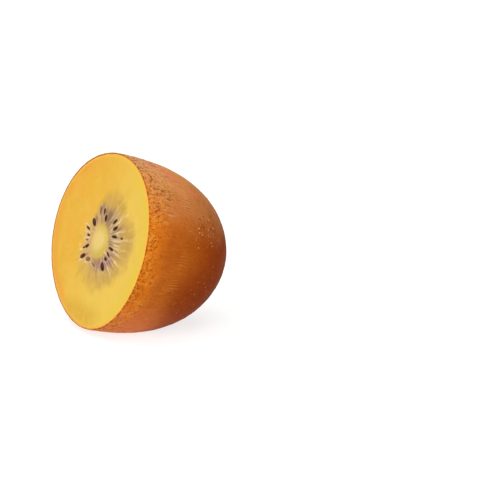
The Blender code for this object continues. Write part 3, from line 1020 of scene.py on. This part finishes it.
def flesh_material():
    t = Tree("kiwi_flesh")
    p = t.attribute("kiwi_mm", "Vector")
    x, y, z = t.split(p)
    core = t.attribute("core")
    bright = t.attribute("bright")
    gel = t.attribute("gel")
    zone = t.attribute("zone")
    wall = t.attribute("wall")
    rays = t.attribute("rays")
    halo = t.attribute("halo")
    mauve = t.attribute("mauve")
    seedbed = t.attribute("seedbed")
    pale = t.attribute("pale")
    shaded_deep = t.attribute("shaded_deep")
    to_skin_a = t.attribute("to_skin")

    q = t.vec("MULTIPLY", t.vec("SUBTRACT", p, (float(CORE[0]), float(CORE[1]), 0.0)), (1, 1, 0))
    r = t.vec("LENGTH", q)
    ray = t.vec("NORMALIZE", q)

    def radial_noise(turns, out, shift=0.0):
        at = t.vec("ADD", t.vec("SCALE", ray, scale=turns),
                   t.combine(shift, 0.0, t.math("MULTIPLY", r, out)))
        return t.noise(at, 1.0, 2.0, 0.6)

    fibre = radial_noise(10.0, 0.16)
    fibre_fine = radial_noise(24.0, 0.22, 7.0)
    broad = t.noise(p, 0.06, 2.0, 0.5)
    cloud = t.noise(p, 0.22, 3.0, 0.5)
    soft = t.noise(p, 0.50, 2.0, 0.5)
    grain = t.noise(p, 2.2, 3.0, 0.6)

    # outer flesh: deeper on the left and top, paler to the right and below
    lean = t.math("ADD", t.math("MULTIPLY", x, 0.034), t.math("MULTIPLY", y, -0.016))
    lean = t.math("ADD", lean, t.math("MULTIPLY", t.math("SUBTRACT", broad, 0.5), 0.9))
    outer = t.mix(t.step(lean, -0.60, 0.45), lin(234, 178, 42), lin(236, 196, 74))
    outer = t.mix(t.math("MULTIPLY", t.step(cloud, 0.46, 0.72), 0.26), outer, lin(238, 202, 88))
    outer = t.mix(t.math("MULTIPLY", t.step(cloud, 0.46, 0.26), 0.22), outer, lin(226, 172, 44))
    outer = t.mix(t.math("MULTIPLY", t.step(fibre, 0.54, 0.76), 0.12), outer, lin(246, 214, 116))
    blotch = t.noise(t.vec("ADD", p, (8.0, 31.0, 0.0)), 0.16, 3.0, 0.55, 0.4)
    west = t.step(x, -4.0, -20.0)
    outer = t.mix(t.math("MULTIPLY", t.math("MULTIPLY", t.step(blotch, 0.52, 0.66), west), 0.45), outer, lin(222, 174, 32))
    outer = t.mix(t.math("MULTIPLY", t.math("MULTIPLY", t.step(blotch, 0.48, 0.36), west), 0.40), outer, lin(242, 166, 44))
    # a deeper, warmer margin on the left, an olive shade at the bottom left
    margin = t.step(t.math("ADD", to_skin_a, t.math("MULTIPLY", t.math("SUBTRACT", cloud, 0.5), 4.0)), 5.5, 0.4)
    left = t.step(x, -2.0, -17.0)
    outer = t.mix(t.math("MULTIPLY", t.math("MULTIPLY", margin, left), 0.75), outer, lin(236, 160, 42))
    low = t.math("MULTIPLY", t.step(y, -16.5, -22.5), t.math("MULTIPLY", t.step(x, 13.0, 3.0), t.step(x, -16.0, -8.0)))
    outer = t.mix(t.math("MULTIPLY", t.math("MULTIPLY", low, t.step(soft, 0.28, 0.62, 0.60, 1.0)), 0.72), outer, lin(216, 166, 30))
    right = t.step(x, 5.0, 18.0)
    outer = t.mix(t.math("MULTIPLY", t.math("MULTIPLY", t.step(to_skin_a, 5.0, 2.6), right), 0.60), outer, lin(232, 198, 50))
    # just under the skin
    outer = t.mix(t.math("MULTIPLY", t.step(to_skin_a, 1.6, 0.3), 0.85), outer, lin(252, 186, 66))
    olive = t.math("MULTIPLY", t.step(to_skin_a, 0.32, 0.04), t.step(t.math("SUBTRACT", y, x), -6.0, 14.0, 0.0, 0.85))
    outer = t.mix(olive, outer, lin(158, 120, 44))

    # the tissue of the seed chambers
    tan = t.mix(t.step(cloud, 0.34, 0.64), lin(208, 164, 84), lin(196, 152, 68))
    tan = t.mix(t.step(r, 13.5, 9.5), tan, lin(198, 156, 92))
    tan = t.mix(t.math("MULTIPLY", t.step(t.math("ABSOLUTE", y), 8.0, 12.0), 0.75), tan, lin(208, 162, 56))
    colour = t.mix(t.math("MULTIPLY", zone, t.step(soft, 0.25, 0.60, 0.72, 0.96)), outer, tan)
    gel_colour = t.mix(t.step(r, 8.0, 14.0), lin(186, 146, 96), lin(198, 158, 62))
    colour = t.mix(t.math("MULTIPLY", t.math("MULTIPLY", gel, t.step(rays, 0.15, 0.7, 0.10, 1.0)),
                          t.step(soft, 0.30, 0.65, 0.28, 0.60)), colour, gel_colour)
    thread = t.math("MULTIPLY", t.math("MULTIPLY", zone, t.step(r, 14.5, 10.0)), rays)
    colour = t.mix(t.math("MULTIPLY", thread, t.step(fibre_fine, 0.50, 0.62, 0.0, 0.70)), colour, lin(240, 210, 150))
    # dark lines between the pale fibres: partly the tissue's own colour, partly painted shade between the fibres
    colour = t.mix(t.math("MULTIPLY", thread, t.step(fibre_fine, 0.48, 0.36, 0.0, 0.72)), colour, lin(146, 104, 64))
    colour = t.mix(t.math("MULTIPLY", wall, t.step(fibre, 0.30, 0.60, 0.35, 0.85)), colour, lin(238, 206, 142))

    # tissue round the seeds
    near = t.math("MULTIPLY", t.step(r, 9.8, 7.2), t.step(r, 4.0, 5.6))
    near_colour = t.mix(t.step(x, -2.5, 1.5), lin(212, 168, 110), lin(164, 122, 76))
    colour = t.mix(t.math("MULTIPLY", near, t.step(soft, 0.30, 0.65, 0.60, 0.85)), colour, near_colour)
    colour = t.mix(t.math("MULTIPLY", t.math("MULTIPLY", near, rays), t.step(fibre_fine, 0.50, 0.60, 0.0, 0.65)), colour, lin(238, 208, 156))
    # dark lines between the pale fibres round the seeds: partly their own colour, partly painted shade
    colour = t.mix(t.math("MULTIPLY", t.math("MULTIPLY", near, t.step(rays, 0.0, 0.5, 0.4, 1.0)), t.step(fibre_fine, 0.48, 0.38, 0.0, 0.60)), colour, lin(132, 94, 60))
    lilac = t.mix(t.step(t.math("SUBTRACT", x, y), 2.0, 9.0), lin(132, 94, 76), lin(164, 118, 130))
    colour = t.mix(t.math("MULTIPLY", mauve, t.step(soft, 0.25, 0.65, 0.95, 0.75)), colour, lilac)
    # dark lines in the lilac tissue: partly their own colour, partly painted shade between the fibres
    colour = t.mix(t.math("MULTIPLY", mauve, t.step(fibre_fine, 0.50, 0.34, 0.0, 0.65)), colour, lin(104, 70, 54))
    colour = t.mix(t.math("MULTIPLY", mauve, t.step(fibre_fine, 0.55, 0.66, 0.0, 0.35)), colour, lin(200, 162, 130))
    # the olive and brown strokes: partly their own colour, partly painted shade in their shallow grooves
    deep_colour = t.mix(t.step(r, 9.0, 13.0), lin(140, 100, 62), lin(182, 150, 40))
    colour = t.mix(t.math("MULTIPLY", shaded_deep, 0.62), colour, deep_colour)
    colour = t.mix(t.math("MULTIPLY", seedbed, 0.65), colour, lin(124, 82, 62))
    colour = t.mix(t.math("MULTIPLY", halo, 0.45), colour, lin(238, 206, 152))
    colour = t.mix(t.math("MULTIPLY", pale, 0.78), colour, lin(250, 222, 168))

    # core: a cream middle in a greener ring that is faint on the left
    ring_show = t.step(x, -4.2, 1.0, 0.25, 1.0)
    ring_colour = t.mix(ring_show, lin(216, 180, 112), lin(204, 176, 66))
    core_colour = t.mix(bright, ring_colour, lin(234, 203, 116))
    core_colour = t.mix(t.math("MULTIPLY", t.step(grain, 0.50, 0.75), 0.16), core_colour, lin(222, 190, 98))
    colour = t.mix(core, colour, core_colour)
    t.plug(t.shader.inputs["Base Color"], colour)

    wet = t.math("MAXIMUM", gel, t.math("MULTIPLY", zone, 0.6))
    rough = t.math("ADD", t.span(wet, 0.0, 1.0, 0.44, 0.30), t.span(cloud, 0.3, 0.7, -0.04, 0.04))
    t.plug(t.shader.inputs["Roughness"], rough)
    t.shader.inputs["Specular IOR Level"].default_value = 0.30
    t.shader.inputs["Subsurface Weight"].default_value = 0.35
    t.shader.inputs["Subsurface Radius"].default_value = (1.0, 0.60, 0.18)
    t.shader.inputs["Subsurface Scale"].default_value = 0.0012

    pulp = t.voronoi(p, 1.7, feature="SMOOTH_F1", smoothness=0.6)
    height = t.math("ADD", t.math("MULTIPLY", grain, 0.6), t.math("MULTIPLY", pulp, 0.4))
    height = t.math("ADD", height, t.math("MULTIPLY", t.math("MULTIPLY", fibre_fine, zone), 0.9))
    t.plug(t.shader.inputs["Normal"], t.bump(height, 0.09, 0.40))
    return t.material


def seed_material():
    t = Tree("kiwi_seed")
    p = t.attribute("seed_mm", "Vector")
    tone = t.attribute("tone")
    n = t.noise(p, 5.0, 4.0, 0.6)
    lines = t.noise(t.vec("MULTIPLY", p, (2.0, 9.0, 9.0)), 1.0, 2.0, 0.5)
    dark = t.mix(t.step(n, 0.38, 0.62), lin(30, 17, 8), lin(84, 54, 28))
    maroon = t.mix(t.step(n, 0.4, 0.65), lin(70, 22, 22), lin(104, 44, 32))
    mauve = t.mix(t.step(n, 0.4, 0.65), lin(130, 84, 68), lin(160, 108, 90))
    colour = t.mix(t.step(tone, 0.10, 0.55), dark, maroon)
    colour = t.mix(t.step(tone, 0.55, 0.85), colour, mauve)
    colour = t.mix(t.math("MULTIPLY", t.step(lines, 0.48, 0.66), 0.38), colour, lin(118, 78, 46))
    t.plug(t.shader.inputs["Base Color"], colour)
    t.plug(t.shader.inputs["Roughness"], t.span(n, 0.3, 0.7, 0.30, 0.46))
    t.shader.inputs["Specular IOR Level"].default_value = 0.09
    t.plug(t.shader.inputs["Normal"], t.bump(t.math("ADD", n, lines), 0.05, 0.5))
    return t.material


skin.data.materials.append(skin_material())
flesh.data.materials.append(flesh_material())
seeds.data.materials.append(seed_material())

for piece, slot_name in ((skin, "skin"), (flesh, "flesh"), (seeds, "seed")):
    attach(piece, "root")
    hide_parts("kiwi_half")

# =============================================================================
# Floor, light and camera
# =============================================================================
floor_mesh = bpy.data.meshes.new("floor")
floor_mesh.from_pydata([(-6, -6, -0.00003), (6, -6, -0.00003), (6, 6, -0.00003), (-6, 6, -0.00003)], [], [(0, 1, 2, 3)])
floor = bpy.data.objects.new("floor", floor_mesh)
bpy.context.scene.collection.objects.link(floor)
paper = bpy.data.materials.new("floor_paper")
paper.use_nodes = True
# a white table lit through from below
paper.node_tree.nodes["Principled BSDF"].inputs["Base Color"].default_value = (0.36, 0.36, 0.36, 1.0)
paper.node_tree.nodes["Principled BSDF"].inputs["Emission Color"].default_value = (1.0, 1.0, 1.0, 1.0)
paper.node_tree.nodes["Principled BSDF"].inputs["Emission Strength"].default_value = 0.76
paper.node_tree.nodes["Principled BSDF"].inputs["Roughness"].default_value = 0.9
paper.node_tree.nodes["Principled BSDF"].inputs["Specular IOR Level"].default_value = 0.1
floor_mesh.materials.append(paper)
floor.visible_diffuse = False
floor.visible_glossy = False

scene = bpy.context.scene
ROOM = 0.50                 # light from all round
ROOM_LEAN = 0.375           # how much more of it comes from the left and from the table below
KEY = 0.50
OVERHEAD = 0.40
scene.view_settings.view_transform = "Standard"

CAM_AZIMUTH = math.radians(58.03)
CAM_ELEVATION = math.radians(12.0)
PX_PER_MM = 3.433
CAM_DISTANCE = 700.0
cam_back = Vector((math.sin(CAM_AZIMUTH) * math.cos(CAM_ELEVATION),
                   -math.cos(CAM_AZIMUTH) * math.cos(CAM_ELEVATION),
                   math.sin(CAM_ELEVATION)))
cam_right = Vector((math.cos(CAM_AZIMUTH), math.sin(CAM_AZIMUTH), 0.0))
cam_up = cam_back.cross(cam_right)


# an even white studio, brighter on the left and below
lean_way = -cam_right * 0.6 + cam_back * 0.2 - Vector((0, 0, 0.8))
world = bpy.data.worlds.new("studio")
world.use_nodes = True
w_nodes, w_links = world.node_tree.nodes, world.node_tree.links
w_way = w_nodes.new("ShaderNodeTexCoord")
w_dot = w_nodes.new("ShaderNodeVectorMath")
w_dot.operation = "DOT_PRODUCT"
w_dot.inputs[1].default_value = tuple(lean_way * ROOM_LEAN)
w_sum = w_nodes.new("ShaderNodeMath")
w_sum.operation = "ADD"
w_sum.inputs[1].default_value = ROOM
w_links.new(w_way.outputs["Generated"], w_dot.inputs[0])
w_links.new(w_dot.outputs["Value"], w_sum.inputs[0])
w_links.new(w_sum.outputs[0], w_nodes["Background"].inputs["Strength"])
w_nodes["Background"].inputs["Color"].default_value = (1.0, 1.0, 1.0, 1.0)
scene.world = world


def soft_sun(name, towards, share, spread_deg, colour=(1.0, 1.0, 1.0)):
    """A broad light from one side; share 1 lights a facing white surface to white."""
    data = bpy.data.lights.new(name, "SUN")
    data.energy = share * math.pi
    data.angle = math.radians(spread_deg)
    data.color = colour
    obj = bpy.data.objects.new(name, data)
    scene.collection.objects.link(obj)
    obj.rotation_mode = "QUATERNION"
    obj.rotation_quaternion = (-Vector(towards)).to_track_quat("-Z", "Y")
    return obj


soft_sun("key", -cam_right * 0.10 + cam_back * 0.90 + Vector((0, 0, 0.42)), KEY, 50, (1.0, 0.99, 0.97))
soft_sun("overhead", Vector((0, 0, 1)) - cam_right * 0.15 - cam_back * 0.1, OVERHEAD, 80)

camera_data = bpy.data.cameras.new("camera")
camera = bpy.data.objects.new("camera", camera_data)
scene.collection.objects.link(camera)
camera_data.sensor_width = 36.0
camera_data.lens = PX_PER_MM * CAM_DISTANCE * 36.0 / 500.0
CUT_PX = (98.83, 239.35)
place = (Vector(CUT_CENTRE) + cam_back * CAM_DISTANCE
         - cam_right * ((CUT_PX[0] - 250.0) / PX_PER_MM)
         + cam_up * ((CUT_PX[1] - 250.0) / PX_PER_MM))
camera.matrix_world = Matrix((
    (cam_right.x, cam_up.x, cam_back.x, place.x / 1000),
    (cam_right.y, cam_up.y, cam_back.y, place.y / 1000),
    (cam_right.z, cam_up.z, cam_back.z, place.z / 1000),
    (0, 0, 0, 1)))
camera_data.clip_start = 0.05
camera_data.clip_end = 20.0
scene.camera = camera
